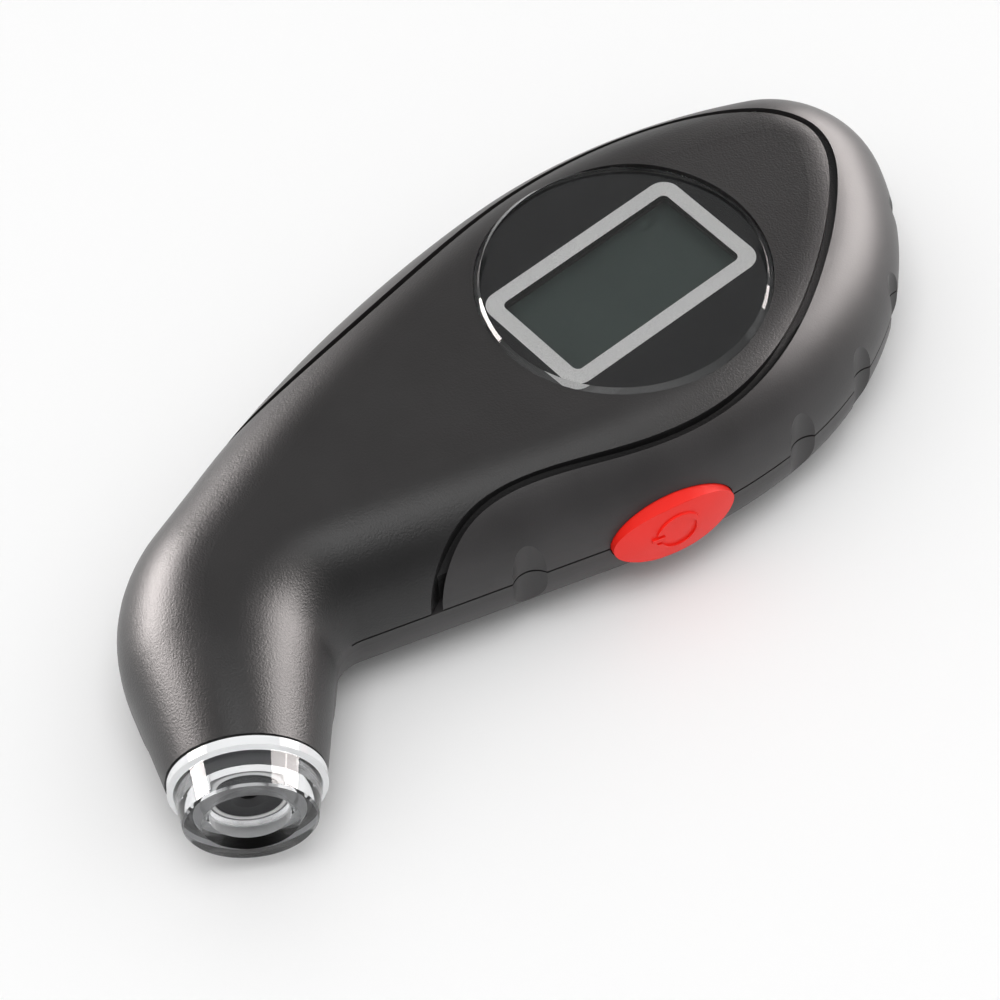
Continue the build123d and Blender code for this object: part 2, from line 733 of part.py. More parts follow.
def make_seal_seat():
    """White seat behind the socket: cup for the seal, shoulder on the tip and hose barb."""
    front = TIP_OUT - SOCKET_DEPTH - 0.02
    shoulder = -TIP_STEM - 0.02
    cup = front - 0.1 - SEAL_T - FIT
    seat = turned(
        (SEAL_R + FIT, cup),
        (SEAL_R + FIT, front),
        (SEAT_R - FIT, front),
        (SEAT_R - FIT, shoulder),
        (TIP_STEM_R - 0.1, shoulder),
        (TIP_STEM_R - 0.1, shoulder - SEAT_FLANGE_T),
        (3.0, SEAT_BACK),
        (BARB_R, SEAT_BACK),
        (BARB_R, BARB_END),
        (0.6, BARB_END),
        (0.6, cup - PIN_BASE_T - FIT),
        (PIN_BASE_R + FIT, cup - PIN_BASE_T - FIT),
        (PIN_BASE_R + FIT, cup),
    )
    return on_nozzle(seat)


def make_valve_seal():
    """Rubber washer that seals on the rim of the tyre valve."""
    front = TIP_OUT - SOCKET_DEPTH - 0.12
    back = front - SEAL_T
    seal = turned(
        (SEAL_HOLE_R, back),
        (SEAL_R, back),
        (SEAL_R, front),
        (SEAL_HOLE_R + 0.9, front),
        (SEAL_HOLE_R, front - 0.5),
    )
    return on_nozzle(seal)


def make_valve_pin():
    """Pin that opens the tyre valve, on a notched base that lets the air past."""
    cup = TIP_OUT - SOCKET_DEPTH - 0.12 - SEAL_T - FIT
    pin = turned(
        (0, cup - PIN_BASE_T),
        (PIN_BASE_R, cup - PIN_BASE_T),
        (PIN_BASE_R, cup),
        (PIN_R, cup),
        (PIN_R, PIN_TOP - 0.25),
        (PIN_R - 0.25, PIN_TOP),
        (0, PIN_TOP),
    )
    for turn in (0, 120, 240):
        pin -= Rot(0, 0, turn) * Pos(PIN_BASE_R, 0, cup - PIN_BASE_T / 2) * Box(1.8, 0.7, 3)
    return on_nozzle(pin)


def make_nozzle_lamp():
    """Small lamp behind the nozzle that lights the clear tip."""
    lamp = turned(
        (0, LAMP_Z),
        (1.0, LAMP_Z - 0.3),
        (1.5, LAMP_Z - 1.2),
        (1.5, LAMP_Z - 3.4),
        (1.8, LAMP_Z - 3.4),
        (1.8, LAMP_Z - 4.2),
        (0, LAMP_Z - 4.2),
    )
    return on_nozzle(Pos(0, LAMP_OFF, 0) * lamp)


PARTS = {
    "upper_shell": make_upper_shell,
    "grip_band": make_grip_band,
    "lower_shell": make_lower_shell,
    "battery_door": make_battery_door,
    "lens": make_lens,
    "dial_mask": make_dial_mask,
    "lcd_glass": make_lcd_glass,
    "lcd_holder": make_lcd_holder,
    "zebra_strips": make_zebra_strips,
    "circuit_board": make_circuit_board,
    "chip_blob": make_chip_blob,
    "pressure_sensor": make_pressure_sensor,
    "air_hose": make_air_hose,
    "coin_cell": make_coin_cell,
    "negative_contact": make_negative_contact,
    "positive_contact": make_positive_contact,
    "case_screws": make_case_screws,
    "board_screws": make_board_screws,
    "door_screw": make_door_screw,
    "power_button": make_power_button,
    "switch_body": make_switch_body,
    "switch_plunger": make_switch_plunger,
    "nozzle_tip": make_nozzle_tip,
    "seal_seat": make_seal_seat,
    "valve_seal": make_valve_seal,
    "valve_pin": make_valve_pin,
    "nozzle_lamp": make_nozzle_lamp,
}


def main():
    os.makedirs("parts", exist_ok=True)
    for node, make in PARTS.items():
        export_step(make(), os.path.join("parts", node + ".step"))


if __name__ == "__main__":
    main()
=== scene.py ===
"""Looks of the digital tyre pressure gauge: materials, prints, camera, floor and lights."""
from math import acos, cos, pi, radians, sin, sqrt, tan

import bmesh
import bpy
from mathutils import Matrix, Vector

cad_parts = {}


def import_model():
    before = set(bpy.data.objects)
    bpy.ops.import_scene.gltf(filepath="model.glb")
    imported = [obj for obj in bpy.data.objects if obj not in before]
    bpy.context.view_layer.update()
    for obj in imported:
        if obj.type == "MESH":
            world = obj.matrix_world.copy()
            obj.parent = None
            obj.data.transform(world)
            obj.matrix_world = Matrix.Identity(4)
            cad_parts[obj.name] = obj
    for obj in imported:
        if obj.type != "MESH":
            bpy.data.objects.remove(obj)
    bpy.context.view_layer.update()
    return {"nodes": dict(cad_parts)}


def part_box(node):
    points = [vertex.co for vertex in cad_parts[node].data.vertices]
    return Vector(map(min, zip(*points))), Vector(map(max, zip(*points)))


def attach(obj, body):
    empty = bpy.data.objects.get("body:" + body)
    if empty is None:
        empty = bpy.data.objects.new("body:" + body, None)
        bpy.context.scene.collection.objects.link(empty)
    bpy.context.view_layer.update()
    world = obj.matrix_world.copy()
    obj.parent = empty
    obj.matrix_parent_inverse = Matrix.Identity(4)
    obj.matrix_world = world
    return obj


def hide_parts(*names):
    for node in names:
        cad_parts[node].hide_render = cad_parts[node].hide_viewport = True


MM = 0.001

# Camera as fitted to the photograph: azimuth and height of its line of sight, roll, distance in mm
SIGHT_AZIMUTH = 36.566
SIGHT_HEIGHT = 53.15
ROLL = 4.68
DISTANCE = 399.96
SIGHT_AT = (-31.56, -15.03, 21.1)
FOCAL_LENGTH = 129.6
SENSOR_WIDTH = 36.0

# Silver frame printed behind the window, in mm: the middle, width and both corners, its rise off the
# mask, how far it stays inside the mask's edge, and the reach of the mask's window from the middle
FRAME_AT = (-0.1, 0.25)
FRAME_W = 1.95
FRAME_CORNER = 2.2
FRAME_INNER_CORNER = 0.8
PRINT_RISE = 0.004
MASK_EDGE = 0.1
WINDOW_REACH = 15.5

# Sky as reflections show it, height of direction and strength at both ends, and as dull surfaces get it
SKY_LOW = (0.0, 0.50)
SKY_HIGH = (0.55, 0.12)
ROOM_LIGHT = 0.55
FLOOR_WHITE = 0.90
FLOOR_SIZE = 4.0

# Each lamp: name, direction from the gauge, distance and size in m, power in W, colour, what it lights
LAMP_TARGET = Vector((-0.02, 0.0, 0.01))
LAMPS = (
    ("right_box", (0.96, 0.12, 0.29), 0.9, (0.95, 0.42), 15.0, (1.0, 0.93, 0.91), "glossy"),
    ("left_box", (-0.36, 0.88, 0.30), 0.9, (0.75, 0.42), 21.0, (1.0, 0.93, 0.91), "glossy"),
    ("bend_box", (0.76, -0.24, 0.60), 0.9, (0.45, 0.40), 7.0, (1.0, 0.94, 0.92), "glossy"),
    ("key", (-0.12, -0.14, 1.0), 0.9, (0.55, 0.55), 3.0, (1.0, 1.0, 1.0), "both"),
    ("fill", (0.15, 0.10, 1.0), 1.3, (3.2, 3.2), 11.0, (1.0, 1.0, 1.0), "diffuse"),
)

# Noise in the materials, in cells a metre, and how far the gloss departs from its middle
CLOUDS_PER_M = 120.0
RIPPLES_PER_M = 900.0
FLAKES_PER_M = 6500.0
PLASTIC_GLOSS = 0.04
CLEAR_GLOSS = 0.02
METAL_GLOSS = (-0.05, 0.08)
METAL_GRAIN = (0.3, 0.004)
CLEAR_IOR = 1.49

# Upper half of the case round its neck, in mm, as the solids have it
SEAM_Z = 10.0
CROWN = 11.2
CROWN_ROUND = 11.0
MOUTH = Vector((-71.56, -18.64))
MOUTH_R = 8.95
NECK_TAPER = 0.22
NECK_BACK = Vector((-cos(radians(239.5)), -sin(radians(239.5))))
NECK_ACROSS = Vector((NECK_BACK.y, -NECK_BACK.x))
NECK_START = -5.0
INNER_BACK = 15.0
INNER_CORNER_R = 4.5
OUTER_BACK = 23.3
OUTER_CORNER_R = 22.0
NEAR_SIDE = Vector((-18.8, -23.0))
FAR_SIDE = Vector((-54.4, 14.6))

# The seal seat, in mm: radius of its white ring, the blend at its edge and the grey outside it
NOZZLE_TURN = radians(236.4)
SEAT_WHITE_R = 4.2
SEAT_EDGE = 0.15
SEAT_GREY = (0.14, 0.14, 0.145, 1)

# The frosted flange of the nozzle, in mm: from this radius out, between two places along the nozzle,
# with the blend at its edges and what is left of its clearness
FROST_R = 8.0
FROST_BACK = 0.2
FROST_FRONT = 1.6
FROST_EDGE = 0.1
FROST_CLEAR = 0.15

# The smooth neck, in mm back from the mouth: straight to the first, then flatter and flatter until it
# meets the crown at BLEND_END; its rim stands square to the side of the case from UPRIGHT_FROM on, and
# the place at INSIDE_BACK is well inside the case
STRAIGHT_TO = 2.0
BLEND_LENGTH = (CROWN_ROUND - MOUTH_R - NECK_TAPER * STRAIGHT_TO) * 2 / NECK_TAPER
BLEND_END = STRAIGHT_TO + BLEND_LENGTH
UPRIGHT_FROM = 12.0
INSIDE_BACK = 20.0

# How corners of the mesh are told apart and moved, in mm: how near they lie to the skin, to the side's
# wall and to both forms where these step; the longest edge that stays whole; how near the side the wall
# is too steep to set a height, which is scaled instead; and the lowest height that is scaled
ON_SKIN = 0.08
ON_WALL = 0.02
STEP_HEIGHT = 0.6
BLEND_EDGE = 1.1
STEEP = 0.3
LOWEST = 0.05

# Rounds of halving at most; how nearly a face points along a new normal to take it, as a cosine; how far
# past the ends of a run a place still counts, as a share of its length; the shortest usable vector
SPLIT_ROUNDS = 6
SAME_WAY = 0.7
RUN_SLACK = 0.001
TINY = 1e-6


def nodes_of(material):
    """Empties a material and gives it one shader; returns the node tree and the shader."""
    material.use_nodes = True
    tree = material.node_tree
    tree.nodes.clear()
    output = tree.nodes.new("ShaderNodeOutputMaterial")
    shader = tree.nodes.new("ShaderNodeBsdfPrincipled")
    tree.links.new(shader.outputs["BSDF"], output.inputs["Surface"])
    return tree, shader


def add(tree, kind, **values):
    """Adds a node; each value goes to the input of that name, or else to the node's setting."""
    node = tree.nodes.new(kind)
    for name, value in values.items():
        if name in node.inputs:
            node.inputs[name].default_value = value
        else:
            setattr(node, name, value)
    return node


def stretched(tree, value, low, high):
    """Socket of a value between 0 and 1 stretched to run from low to high."""
    ramp = add(tree, "ShaderNodeMapRange")
    ramp.inputs["To Min"].default_value = low
    ramp.inputs["To Max"].default_value = high
    tree.links.new(value, ramp.inputs["Value"])
    return ramp.outputs["Result"]


def colour_ramp(tree, value, *stops):
    """Socket of a colour ramp with two stops, each a place and a colour."""
    ramp = add(tree, "ShaderNodeValToRGB")
    for element, (place, colour) in zip(ramp.color_ramp.elements, stops):
        element.position = place
        element.color = (*colour, 1)
    tree.links.new(value, ramp.inputs["Fac"])
    return ramp.outputs["Color"]


def mixed(tree, share, first, second):
    """Socket of a colour that goes from a socket's to a plain one as the share grows."""
    mix = tree.nodes.new("ShaderNodeMix")
    mix.data_type = "RGBA"
    colours = [socket for socket in mix.inputs if socket.type == "RGBA"]
    tree.links.new(first, colours[0])
    colours[1].default_value = second
    tree.links.new(share, mix.inputs["Factor"])
    return [socket for socket in mix.outputs if socket.type == "RGBA"][0]


def grain_bump(tree, shader, size, height, detail=1.5):
    """Moulded grain: a noise bump, its size and height in mm; returns coordinates and noise."""
    place = add(tree, "ShaderNodeTexCoord")
    noise = add(tree, "ShaderNodeTexNoise", Scale=1 / (size * MM), Detail=detail, Roughness=0.5)
    bump = add(tree, "ShaderNodeBump", Strength=1.0, Distance=height * MM)
    tree.links.new(place.outputs["Object"], noise.inputs["Vector"])
    tree.links.new(noise.outputs["Fac"], bump.inputs["Height"])
    tree.links.new(bump.outputs["Normal"], shader.inputs["Normal"])
    return place, noise


def plastic(
    name, colour, roughness, grain=0.4, height=0.02, spread=0.15, specular=0.5, detail=1.5
):
    """Moulded plastic: base colour that varies a little, grain in the bump and in the gloss."""
    material = bpy.data.materials.new(name)
    tree, shader = nodes_of(material)
    place, noise = grain_bump(tree, shader, grain, height, detail)
    cloud = add(tree, "ShaderNodeTexNoise", Scale=CLOUDS_PER_M, Detail=2.0)
    tree.links.new(place.outputs["Object"], cloud.inputs["Vector"])
    low = [c * (1 - spread) for c in colour]
    high = [c * (1 + spread) for c in colour]
    clouded = colour_ramp(tree, cloud.outputs["Fac"], (0.3, low), (0.7, high))
    tree.links.new(clouded, shader.inputs["Base Color"])
    gloss = stretched(tree, noise.outputs["Fac"], roughness - PLASTIC_GLOSS, roughness + PLASTIC_GLOSS)
    tree.links.new(gloss, shader.inputs["Roughness"])
    shader.inputs["Specular IOR Level"].default_value = specular
    return material


def clear_plastic(name, tint, roughness=0.02):
    """Clear moulded plastic with a faint ripple in its gloss."""
    material = bpy.data.materials.new(name)
    tree, shader = nodes_of(material)
    place = add(tree, "ShaderNodeTexCoord")
    noise = add(tree, "ShaderNodeTexNoise", Scale=RIPPLES_PER_M, Detail=2.0)
    tree.links.new(place.outputs["Object"], noise.inputs["Vector"])
    gloss = stretched(tree, noise.outputs["Fac"], roughness, roughness + CLEAR_GLOSS)
    tree.links.new(gloss, shader.inputs["Roughness"])
    shader.inputs["Base Color"].default_value = (*tint, 1)
    shader.inputs["Transmission Weight"].default_value = 1.0
    shader.inputs["IOR"].default_value = CLEAR_IOR
    return material


def metal(name, colour, roughness):
    """Plain metal with a fine grain in its gloss."""
    material = bpy.data.materials.new(name)
    tree, shader = nodes_of(material)
    noise = grain_bump(tree, shader, *METAL_GRAIN)[1]
    shader.inputs["Metallic"].default_value = 1.0
    shader.inputs["Base Color"].default_value = (*colour, 1)
    low, high = [roughness + change for change in METAL_GLOSS]
    gloss = stretched(tree, noise.outputs["Fac"], low, high)
    tree.links.new(gloss, shader.inputs["Roughness"])
    return material


def silver_print():
    """Printed silver: pale grey with fine bright flakes."""
    material = bpy.data.materials.new("silver_print")
    tree, shader = nodes_of(material)
    place = add(tree, "ShaderNodeTexCoord")
    flakes = add(tree, "ShaderNodeTexVoronoi", Scale=FLAKES_PER_M)
    tree.links.new(place.outputs["Object"], flakes.inputs["Vector"])
    flaked = colour_ramp(
        tree, flakes.outputs["Distance"], (0.0, (0.84, 0.84, 0.84)), (1.0, (0.55, 0.55, 0.55))
    )
    tree.links.new(flaked, shader.inputs["Base Color"])
    shader.inputs["Metallic"].default_value = 0.25
    shader.inputs["Roughness"].default_value = 0.45
    return material


def shader_of(material):
    """The material's own shader."""
    return [node for node in material.node_tree.nodes if node.type == "BSDF_PRINCIPLED"][0]


def nozzle_spot(tree):
    """Sockets with the place along the nozzle from its mouth and the distance from its axis."""
    place = add(tree, "ShaderNodeTexCoord")
    offset = add(tree, "ShaderNodeVectorMath", operation="SUBTRACT")
    offset.inputs[1].default_value = (MOUTH.x * MM, MOUTH.y * MM, SEAM_Z * MM)
    axis = (cos(NOZZLE_TURN), sin(NOZZLE_TURN), 0)
    across = add(tree, "ShaderNodeVectorMath", operation="CROSS_PRODUCT")
    across.inputs[1].default_value = axis
    length = add(tree, "ShaderNodeVectorMath", operation="LENGTH")
    along = add(tree, "ShaderNodeVectorMath", operation="DOT_PRODUCT")
    along.inputs[1].default_value = axis
    tree.links.new(place.outputs["Object"], offset.inputs[0])
    tree.links.new(offset.outputs["Vector"], across.inputs[0])
    tree.links.new(offset.outputs["Vector"], along.inputs[0])
    tree.links.new(across.outputs["Vector"], length.inputs[0])
    return along.outputs["Value"], length.outputs["Value"]


def changing(tree, value, low, high, before, after):
    """Socket that goes from one value to another between two lengths in mm."""
    ramp = add(tree, "ShaderNodeMapRange")
    ramp.inputs["From Min"].default_value = low * MM
    ramp.inputs["From Max"].default_value = high * MM
    ramp.inputs["To Min"].default_value = before
    ramp.inputs["To Max"].default_value = after
    tree.links.new(value, ramp.inputs["Value"])
    return ramp.outputs["Result"]


def seat_plastic():
    """White round the seal, grey behind the clear wall of the nozzle."""
    material = plastic("seat_plastic", (0.78, 0.78, 0.78), 0.3, grain=0.3, height=0.003, spread=0.03)
    tree = material.node_tree
    base = shader_of(material).inputs["Base Color"]
    radius = nozzle_spot(tree)[1]
    share = changing(tree, radius, SEAT_WHITE_R, SEAT_WHITE_R + SEAT_EDGE, 0.0, 1.0)
    tree.links.new(mixed(tree, share, base.links[0].from_socket, SEAT_GREY), base)
    return material


def nozzle_plastic():
    """Clear plastic whose flange is frosted, so that it shows as a white band."""
    material = clear_plastic("tip_plastic", (0.96, 0.97, 0.98))
    tree = material.node_tree
    along, radius = nozzle_spot(tree)
    share = changing(tree, radius, FROST_R, FROST_R + FROST_EDGE, 0.0, 1.0)
    front = changing(tree, along, FROST_FRONT, FROST_FRONT + FROST_EDGE, 1.0, 0.0)
    back = changing(tree, along, FROST_BACK - FROST_EDGE, FROST_BACK, 0.0, 1.0)
    for other in (front, back):
        both = add(tree, "ShaderNodeMath", operation="MULTIPLY")
        tree.links.new(share, both.inputs[0])
        tree.links.new(other, both.inputs[1])
        share = both.outputs["Value"]
    clear = stretched(tree, share, 1.0, FROST_CLEAR)
    tree.links.new(clear, shader_of(material).inputs["Transmission Weight"])
    return material


def dress(frame):
    """Gives every CAD node its material, and returns the materials by node."""
    saddle = plastic(
        "saddle_plastic", (0.012, 0.0118, 0.0122), 0.38, grain=0.24, height=0.034, detail=2.5
    )
    warm_grey = (0.028, 0.0262, 0.0270)
    band = plastic("band_plastic", warm_grey, 0.42, grain=0.22, height=0.010)
    body = plastic("body_plastic", warm_grey, 0.42, grain=0.22, height=0.010)
    holder = plastic("holder_plastic", (0.55, 0.55, 0.53), 0.5)
    steel = metal("screw_steel", (0.55, 0.55, 0.56), 0.35)
    contact = metal("contact_metal", (0.62, 0.6, 0.55), 0.3)
    foil = plastic(
        "printed_foil", (0.010, 0.010, 0.011), 0.5, grain=0.3, height=0.001, spread=0.1, specular=0.1
    )
    display = plastic(
        "display_glass",
        (0.046, 0.062, 0.058),
        0.35,
        grain=2.0,
        height=0.0005,
        spread=0.05,
        specular=0.12,
    )
    button = plastic(
        "button_plastic", (0.92, 0.020, 0.012), 0.36, grain=0.25, height=0.003, spread=0.04, specular=0.3
    )
    by_node = {
        "upper_shell": saddle,
        "grip_band": band,
        "lower_shell": body,
        "battery_door": body,
        "lens": clear_plastic("clear_window", (0.97, 0.98, 0.98)),
        "dial_mask": foil,
        "lcd_glass": display,
        "lcd_holder": plastic("dark_holder", (0.01, 0.01, 0.01), 0.5),
        "zebra_strips": plastic("connector_rubber", (0.5, 0.2, 0.25), 0.7),
        "circuit_board": plastic("board_laminate", (0.01, 0.09, 0.04), 0.35),
        "chip_blob": plastic("chip_resin", (0.01, 0.01, 0.01), 0.3),
        "pressure_sensor": plastic("sensor_case", (0.3, 0.3, 0.3), 0.5),
        "air_hose": plastic("hose_silicone", (0.6, 0.6, 0.58), 0.5),
        "coin_cell": metal("cell_steel", (0.66, 0.66, 0.67), 0.25),
        "negative_contact": contact,
        "positive_contact": contact,
        "case_screws": steel,
        "board_screws": steel,
        "door_screw": steel,
        "power_button": button,
        "switch_body": plastic("switch_plastic", (0.03, 0.03, 0.03), 0.5),
        "switch_plunger": holder,
        "nozzle_tip": nozzle_plastic(),
        "seal_seat": seat_plastic(),
        "valve_seal": plastic("seal_rubber", (0.02, 0.02, 0.022), 0.55),
        "valve_pin": metal("pin_brass", (0.62, 0.48, 0.22), 0.3),
        "nozzle_lamp": clear_plastic("lamp_resin", (0.95, 0.96, 0.98), 0.05),
    }
    for name, node in frame["nodes"].items():
        material = by_node[name]
        for place in range(max(1, len(node.data.materials))):
            if place < len(node.data.materials):
                node.data.materials[place] = material
            else:
                node.data.materials.append(material)
    return by_node


def new_mesh(name, points, faces, material):
    """Object made of points and faces, in the scene."""
    mesh = bpy.data.meshes.new(name)
    mesh.from_pydata(points, [], faces)
    mesh.update()
    mesh.materials.append(material)
    made = bpy.data.objects.new(name, mesh)
    bpy.context.scene.collection.objects.link(made)
    return made


def rounded_outline(width, height, radius, steps=10):
    """Points of a rounded rectangle, anticlockwise."""
    points = []
    for number, (sx, sy) in enumerate(((1, 1), (-1, 1), (-1, -1), (1, -1))):
        cx = sx * (width / 2 - radius)
        cy = sy * (height / 2 - radius)
        for step in range(steps + 1):
            turn = pi / 2 * (number + step / steps)
            points.append((cx + radius * cos(turn), cy + radius * sin(turn)))
    return points


def display_frame(frame):
    """Silver frame printed behind the window, cut off by the edge of the round mask."""
    low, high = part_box("dial_mask")
    z = high.z + PRINT_RISE * MM
    reach = (high.x - low.x) / 2 - MASK_EDGE * MM
    size = window_size(frame["nodes"]["dial_mask"])
    centre = Vector(FRAME_AT) * MM
    wide = [side + 2 * FRAME_W * MM for side in size]
    outer = rounded_outline(*wide, FRAME_CORNER * MM)
    inner = rounded_outline(*size, FRAME_INNER_CORNER * MM)
    points = []
    for x, y in outer:
        place = Vector((x, y)) + centre
        if place.length > reach:
            place = place * (reach / place.length)
        points.append((place.x, place.y, z))
    for x, y in inner:
        points.append((x + centre.x, y + centre.y, z))
    count = len(outer)
    faces = []
    for step in range(count):
        after = (step + 1) % count
        faces.append((step, after, count + after, count + step))
    made = new_mesh("display_frame", points, faces, silver_print())
    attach(made, "case")


def window_size(mask):
    """Length and width of the window in the mask, from the mask's own corners near its middle."""
    limit = WINDOW_REACH * MM
    centre = Vector(FRAME_AT) * MM
    spots = [mask.matrix_world @ v.co for v in mask.data.vertices]
    near = [spot for spot in spots if spot.xy.length < limit]
    return (
        2 * max(abs(spot.x - centre.x) for spot in near),
        2 * max(abs(spot.y - centre.y) for spot in near),
    )


def neck_side(back, side):
    """Point on the neck's side in plan, so far back from the mouth: side 1 is near, -1 is far."""
    return MOUTH + NECK_BACK * back + NECK_ACROSS * side * (MOUTH_R + NECK_TAPER * back)


def rounded_side(start, corner, end, radius, bulges):
    """One side of the case in plan: two straight runs, the arc's centre and radius, its way round.

    bulges is true where the arc turns round a centre inside the case.
    """
    before = (start - corner).normalized()
    after = (end - corner).normalized()
    half = acos(max(-1.0, min(1.0, before.dot(after)))) / 2
    reach = radius / tan(half)
    centre = corner + (before + after).normalized() * (radius / sin(half))
    runs = ((start, corner + before * reach), (corner + after * reach, end))
    return runs, centre, radius, bulges


def neck_outline():
    """Both sides of the neck with the bends that carry them into the head."""
    near_corner = neck_side(INNER_BACK, 1)
    far_corner = neck_side(OUTER_BACK, -1)
    return (
        rounded_side(neck_side(NECK_START, 1), near_corner, NEAR_SIDE, INNER_CORNER_R, False),
        rounded_side(neck_side(NECK_START, -1), far_corner, FAR_SIDE, OUTER_CORNER_R, True),
    )


def side_distance(spot, outline):
    """Distance in plan to the side of the case and the direction inward from it."""
    inside = MOUTH + NECK_BACK * INSIDE_BACK
    best = (1e9, Vector((0, 0)))
    for runs, centre, radius, bulges in outline:
        for first, last in runs:
            along = last - first
            share = (spot - first).dot(along) / along.length_squared
            if -RUN_SLACK <= share <= 1 + RUN_SLACK:
                inward = Vector((along.y, -along.x)).normalized()
                if inward.dot(inside - (first + last) / 2) < 0:
                    inward = -inward
                distance = abs((spot - first).dot(inward))
                if distance < best[0]:
                    best = (distance, inward)
        begins = (runs[0][1] - centre).normalized()
        ends = (runs[1][0] - centre).normalized()
        middle = (begins + ends).normalized()
        line = spot - centre
        if line.length > TINY and line.normalized().dot(middle) >= begins.dot(middle):
            distance = abs(line.length - radius)
            if distance < best[0]:
                best = (distance, line.normalized() * (-1 if bulges else 1))
    return best


def section(back):
    """Rim radius and wall height of the smooth form so far back, each with its slope."""
    wall = CROWN - CROWN_ROUND
    run = min(max(back - STRAIGHT_TO, 0.0), BLEND_LENGTH)
    radius = MOUTH_R + NECK_TAPER * (min(back, STRAIGHT_TO) + run)
    radius -= NECK_TAPER * run * run / 2 / BLEND_LENGTH
    slope = NECK_TAPER * (1 - run / BLEND_LENGTH)
    share = run / BLEND_LENGTH
    height = wall * share * share * (3 - 2 * share)
    return radius, slope, height, wall * 6 * share * (1 - share) / BLEND_LENGTH


def smooth_height(spot, outline):
    """Height of the smooth form above the seam and its normal."""
    back = (spot - MOUTH).dot(NECK_BACK)
    radius, slope, wall, wall_slope = section(back)
    distance, away = side_distance(spot, outline)
    lean = sqrt(1 + NECK_TAPER * NECK_TAPER)
    share = min(max(back / UPRIGHT_FROM, 0.0), 1.0)
    stretch = lean + (1 - lean) * share
    left = radius - min(distance * stretch, radius)
    rise = sqrt(max(radius * radius - left * left, 0.0))
    fore = Vector((NECK_BACK.x, NECK_BACK.y, 0))
    inward = Vector((away.x, away.y, 0)) * stretch
    normal = (fore * slope - inward) * left + (Vector((0, 0, 1)) - fore * wall_slope) * rise
    normal -= fore * (radius * slope)
    return wall + rise, normal.normalized()


def solid_height(spot, distance):
    """Height of the solid's skin above the seam at a place so far from the side."""
    offset = spot - MOUTH
    across = offset.dot(NECK_ACROSS)
    cone = sqrt(max((MOUTH_R + NECK_TAPER * offset.dot(NECK_BACK)) ** 2 - across * across, 0.0))
    left = max(CROWN_ROUND - distance, 0.0)
    rim = sqrt(max(CROWN_ROUND * CROWN_ROUND - left * left, 0.0)) + CROWN - CROWN_ROUND
    return max(cone, rim)


def plan(vert):
    """Place of a corner in plan, in mm."""
    return Vector((vert.co.x / MM, vert.co.y / MM))


def height_of(vert):
    """Height of a corner above the seam, in mm."""
    return vert.co.z / MM - SEAM_Z


def back_of(vert):
    """How far back from the mouth a corner lies, in mm."""
    return (plan(vert) - MOUTH).dot(NECK_BACK)


def on_skin(vert, outline):
    """True for a corner on the outside of cone or crown, on the side, or on the step between."""
    height = height_of(vert)
    if height < -ON_SKIN:
        return False
    spot = plan(vert)
    distance = side_distance(spot, outline)[0]
    across = (spot - MOUTH).dot(NECK_ACROSS)
    cone = sqrt(across * across + height * height) - MOUTH_R - NECK_TAPER * back_of(vert)
    left = max(CROWN_ROUND - distance, 0.0)
    lift = height - CROWN + CROWN_ROUND
    rim = sqrt(left * left + lift * lift) - CROWN_ROUND
    between = cone * rim < 0 and max(abs(cone), abs(rim)) < STEP_HEIGHT
    return min(abs(cone), abs(rim)) < ON_SKIN or distance < ON_WALL or between


def split_skin(work, outline):
    """Halves the long edges of the skin over the neck until none is left."""
    for turn in range(SPLIT_ROUNDS):
        skin = {face for face in work.faces if all(on_skin(v, outline) for v in face.verts)}
        long_edges = [
            edge
            for edge in work.edges
            if edge.calc_length() > BLEND_EDGE * MM
            and min(back_of(v) for v in edge.verts) < BLEND_END
            and any(face in skin for face in edge.link_faces)
        ]
        if not long_edges:
            break
        bmesh.ops.subdivide_edges(work, edges=long_edges, cuts=1)
        bmesh.ops.triangulate(work, faces=[face for face in work.faces if len(face.verts) > 3])


def move_skin(work, outline, layer):
    """Lowers the skin's corners to the smooth form and gives them its normals."""
    moved = {}
    for vert in work.verts:
        if back_of(vert) < BLEND_END and on_skin(vert, outline):
            moved[vert] = smooth_height(plan(vert), outline)
    for face in work.faces:
        for loop in face.loops:
            if loop.vert in moved and face.normal.dot(moved[loop.vert][1]) > SAME_WAY:
                loop[layer] = moved[loop.vert][1]
    for vert in moved:
        height = moved[vert][0]
        distance = side_distance(plan(vert), outline)[0]
        was = solid_height(plan(vert), distance)
        if distance > STEEP and height < was:
            vert.co.z = (SEAM_Z + height) * MM
        elif was > LOWEST:
            vert.co.z = (SEAM_Z + height_of(vert) * min(height / was, 1.0)) * MM


def smooth_neck(frame, material):
    """The upper shell with the shoulder between neck and crown drawn out into one smooth form."""
    node = frame["nodes"]["upper_shell"]
    outline = neck_outline()
    mesh = node.data.copy()
    mesh.name = "upper_shell_skin"
    mesh.transform(node.matrix_world)
    kept = mesh.attributes.new("kept_normal", "FLOAT_VECTOR", "CORNER")
    turn = node.matrix_world.to_3x3()
    for number, corner in enumerate(node.data.corner_normals):
        kept.data[number].vector = turn @ corner.vector
    work = bmesh.new()
    work.from_mesh(mesh)
    split_skin(work, outline)
    move_skin(work, outline, work.loops.layers.float_vector["kept_normal"])
    work.to_mesh(mesh)
    work.free()
    mesh.normals_split_custom_set([item.vector for item in mesh.attributes["kept_normal"].data])
    mesh.attributes.remove(mesh.attributes["kept_normal"])
    mesh.materials.clear()
    mesh.materials.append(material)
    made = bpy.data.objects.new("upper_shell_skin", mesh)
    bpy.context.scene.collection.objects.link(made)
    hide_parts("upper_shell")
    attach(made, "case")


